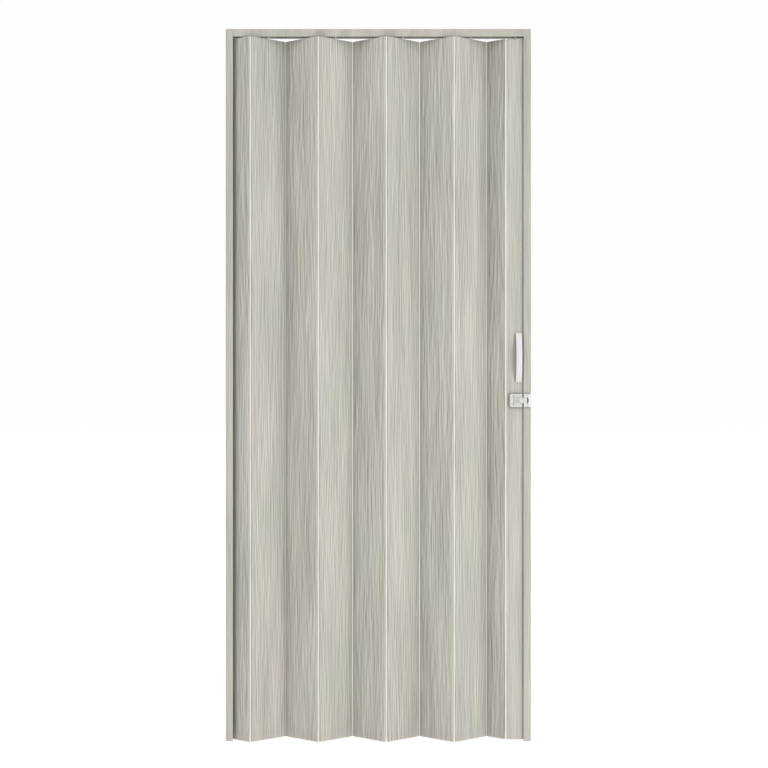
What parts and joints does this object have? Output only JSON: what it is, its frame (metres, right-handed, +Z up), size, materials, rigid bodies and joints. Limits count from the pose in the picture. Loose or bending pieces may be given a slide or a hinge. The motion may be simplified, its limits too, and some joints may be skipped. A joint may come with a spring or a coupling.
{
  "type": "folding door",
  "caption": "Accordion folding door of hollow wood-grain slats joined by soft strips, hung from a rail between two jambs, with bow handles and a slide latch.",
  "frame": {"origin": "on the floor, centred on the doorway's width and on the frame's middle plane", "axes": "+X towards the lead post and its closing jamb, -Y towards the side with the latch, +Z up"},
  "size_m": [0.9, 0.069, 2.1],
  "materials": {
    "grey_wood_pvc": "satin, printed with fine vertical grey wood grain",
    "soft_pale_pvc": "satin, soft",
    "grey_plastic": "moulded",
    "white_nylon": "moulded",
    "white_plastic": "moulded, slightly glossy",
    "zinc_plated_steel": "zinc plated"
  },
  "bodies": {
    "frame": {"top_rail": "grey_wood_pvc", "left_jamb": "grey_wood_pvc", "right_jamb": "grey_wood_pvc", "starter_profile": "grey_wood_pvc", "starter_strip": "soft_pale_pvc", "keeper": "white_plastic", "keeper_screw_upper": "zinc_plated_steel", "keeper_screw_lower": "zinc_plated_steel"},
    "half_slat_left": {"half_slat_left": "grey_wood_pvc"},
    "hinge_strip_1": {"hinge_strip_1": "soft_pale_pvc"},
    "slat_1": {"slat_1": "grey_wood_pvc", "glide_1": "white_nylon"},
    "hinge_strip_2": {"hinge_strip_2": "soft_pale_pvc"},
    "slat_2": {"slat_2": "grey_wood_pvc"},
    "hinge_strip_3": {"hinge_strip_3": "soft_pale_pvc"},
    "slat_3": {"slat_3": "grey_wood_pvc", "glide_2": "white_nylon"},
    "hinge_strip_4": {"hinge_strip_4": "soft_pale_pvc"},
    "slat_4": {"slat_4": "grey_wood_pvc"},
    "hinge_strip_5": {"hinge_strip_5": "soft_pale_pvc"},
    "slat_5": {"slat_5": "grey_wood_pvc", "glide_3": "white_nylon"},
    "hinge_strip_6": {"hinge_strip_6": "soft_pale_pvc"},
    "slat_6": {"slat_6": "grey_wood_pvc"},
    "hinge_strip_7": {"hinge_strip_7": "soft_pale_pvc"},
    "slat_7": {"slat_7": "grey_wood_pvc", "glide_4": "white_nylon"},
    "hinge_strip_8": {"hinge_strip_8": "soft_pale_pvc"},
    "half_slat_right": {"half_slat_right": "grey_wood_pvc"},
    "lead": {"lead_post": "grey_wood_pvc", "lead_strip": "soft_pale_pvc", "lead_post_top_plug": "grey_plastic", "lead_post_bottom_plug": "grey_plastic", "trolley_body": "white_nylon", "hanger_bolt": "zinc_plated_steel", "trolley_axle_left": "zinc_plated_steel", "trolley_axle_right": "zinc_plated_steel", "front_handle": "white_plastic", "rear_handle": "white_plastic", "handle_screw_upper": "zinc_plated_steel", "handle_screw_lower": "zinc_plated_steel", "latch_housing": "white_plastic", "latch_screw_upper": "zinc_plated_steel", "latch_screw_lower": "zinc_plated_steel"},
    "trolley_wheel_1": {"trolley_wheel_1": "white_nylon"},
    "trolley_wheel_2": {"trolley_wheel_2": "white_nylon"},
    "trolley_wheel_3": {"trolley_wheel_3": "white_nylon"},
    "trolley_wheel_4": {"trolley_wheel_4": "white_nylon"},
    "latch_slider": {"latch_slider": "white_plastic"}
  },
  "joints": [
    {"name": "fold", "type": "hinge", "parent": "frame", "child": "half_slat_left", "pos_m": [-0.426, 0, 0], "axis": [0, 0, -1], "range_deg": [0, 50.4]},
    {"name": "strip_1_hinge", "type": "hinge", "parent": "half_slat_left", "child": "hinge_strip_1", "pos_m": [-0.3811, -0.03089, 0], "axis": [0, 0, -1], "range_deg": [-50.4, 0]},
    {"name": "slat_1_hinge", "type": "hinge", "parent": "hinge_strip_1", "child": "slat_1", "pos_m": [-0.3711, -0.03089, 0], "axis": [0, 0, -1], "range_deg": [-50.4, 0]},
    {"name": "strip_2_hinge", "type": "hinge", "parent": "slat_1", "child": "hinge_strip_2", "pos_m": [-0.2813, 0.03089, 0], "axis": [0, 0, -1], "range_deg": [0, 50.4]},
    {"name": "slat_2_hinge", "type": "hinge", "parent": "hinge_strip_2", "child": "slat_2", "pos_m": [-0.2713, 0.03089, 0], "axis": [0, 0, -1], "range_deg": [0, 50.4]},
    {"name": "strip_3_hinge", "type": "hinge", "parent": "slat_2", "child": "hinge_strip_3", "pos_m": [-0.1815, -0.03089, 0], "axis": [0, 0, -1], "range_deg": [-50.4, 0]},
    {"name": "slat_3_hinge", "type": "hinge", "parent": "hinge_strip_3", "child": "slat_3", "pos_m": [-0.1715, -0.03089, 0], "axis": [0, 0, -1], "range_deg": [-50.4, 0]},
    {"name": "strip_4_hinge", "type": "hinge", "parent": "slat_3", "child": "hinge_strip_4", "pos_m": [-0.0817, 0.03089, 0], "axis": [0, 0, -1], "range_deg": [0, 50.4]},
    {"name": "slat_4_hinge", "type": "hinge", "parent": "hinge_strip_4", "child": "slat_4", "pos_m": [-0.0717, 0.03089, 0], "axis": [0, 0, -1], "range_deg": [0, 50.4]},
    {"name": "strip_5_hinge", "type": "hinge", "parent": "slat_4", "child": "hinge_strip_5", "pos_m": [0.0181, -0.03089, 0], "axis": [0, 0, -1], "range_deg": [-50.4, 0]},
    {"name": "slat_5_hinge", "type": "hinge", "parent": "hinge_strip_5", "child": "slat_5", "pos_m": [0.0281, -0.03089, 0], "axis": [0, 0, -1], "range_deg": [-50.4, 0]},
    {"name": "strip_6_hinge", "type": "hinge", "parent": "slat_5", "child": "hinge_strip_6", "pos_m": [0.1179, 0.03089, 0], "axis": [0, 0, -1], "range_deg": [0, 50.4]},
    {"name": "slat_6_hinge", "type": "hinge", "parent": "hinge_strip_6", "child": "slat_6", "pos_m": [0.1279, 0.03089, 0], "axis": [0, 0, -1], "range_deg": [0, 50.4]},
    {"name": "strip_7_hinge", "type": "hinge", "parent": "slat_6", "child": "hinge_strip_7", "pos_m": [0.2177, -0.03089, 0], "axis": [0, 0, -1], "range_deg": [-50.4, 0]},
    {"name": "slat_7_hinge", "type": "hinge", "parent": "hinge_strip_7", "child": "slat_7", "pos_m": [0.2277, -0.03089, 0], "axis": [0, 0, -1], "range_deg": [-50.4, 0]},
    {"name": "strip_8_hinge", "type": "hinge", "parent": "slat_7", "child": "hinge_strip_8", "pos_m": [0.3175, 0.03089, 0], "axis": [0, 0, -1], "range_deg": [0, 50.4]},
    {"name": "half_slat_right_hinge", "type": "hinge", "parent": "hinge_strip_8", "child": "half_slat_right", "pos_m": [0.3275, 0.03089, 0], "axis": [0, 0, -1], "range_deg": [0, 50.4]},
    {"name": "lead_hinge", "type": "hinge", "parent": "half_slat_right", "child": "lead", "pos_m": [0.3724, 0, 0], "axis": [0, 0, -1], "range_deg": [-50.4, 0]},
    {"name": "wheel_1_spin", "type": "hinge", "parent": "lead", "child": "trolley_wheel_1", "pos_m": [0.3924, 0, 2.0868], "axis": [0, 1, 0], "continuous": true},
    {"name": "wheel_2_spin", "type": "hinge", "parent": "lead", "child": "trolley_wheel_2", "pos_m": [0.3924, 0, 2.0868], "axis": [0, 1, 0], "continuous": true},
    {"name": "wheel_3_spin", "type": "hinge", "parent": "lead", "child": "trolley_wheel_3", "pos_m": [0.4184, 0, 2.0868], "axis": [0, 1, 0], "continuous": true},
    {"name": "wheel_4_spin", "type": "hinge", "parent": "lead", "child": "trolley_wheel_4", "pos_m": [0.4184, 0, 2.0868], "axis": [0, 1, 0], "continuous": true},
    {"name": "latch_slide", "type": "slide", "parent": "lead", "child": "latch_slider", "axis": [-1, 0, 0], "range_m": [0, 0.008]}
  ],
  "couplings": [
    {"joint": "strip_1_hinge", "follows": "fold", "ratio": -1},
    {"joint": "slat_1_hinge", "follows": "fold", "ratio": -1},
    {"joint": "strip_2_hinge", "follows": "fold", "ratio": 1},
    {"joint": "slat_2_hinge", "follows": "fold", "ratio": 1},
    {"joint": "strip_3_hinge", "follows": "fold", "ratio": -1},
    {"joint": "slat_3_hinge", "follows": "fold", "ratio": -1},
    {"joint": "strip_4_hinge", "follows": "fold", "ratio": 1},
    {"joint": "slat_4_hinge", "follows": "fold", "ratio": 1},
    {"joint": "strip_5_hinge", "follows": "fold", "ratio": -1},
    {"joint": "slat_5_hinge", "follows": "fold", "ratio": -1},
    {"joint": "strip_6_hinge", "follows": "fold", "ratio": 1},
    {"joint": "slat_6_hinge", "follows": "fold", "ratio": 1},
    {"joint": "strip_7_hinge", "follows": "fold", "ratio": -1},
    {"joint": "slat_7_hinge", "follows": "fold", "ratio": -1},
    {"joint": "strip_8_hinge", "follows": "fold", "ratio": 1},
    {"joint": "half_slat_right_hinge", "follows": "fold", "ratio": 1},
    {"joint": "lead_hinge", "follows": "fold", "ratio": -1}
  ]
}
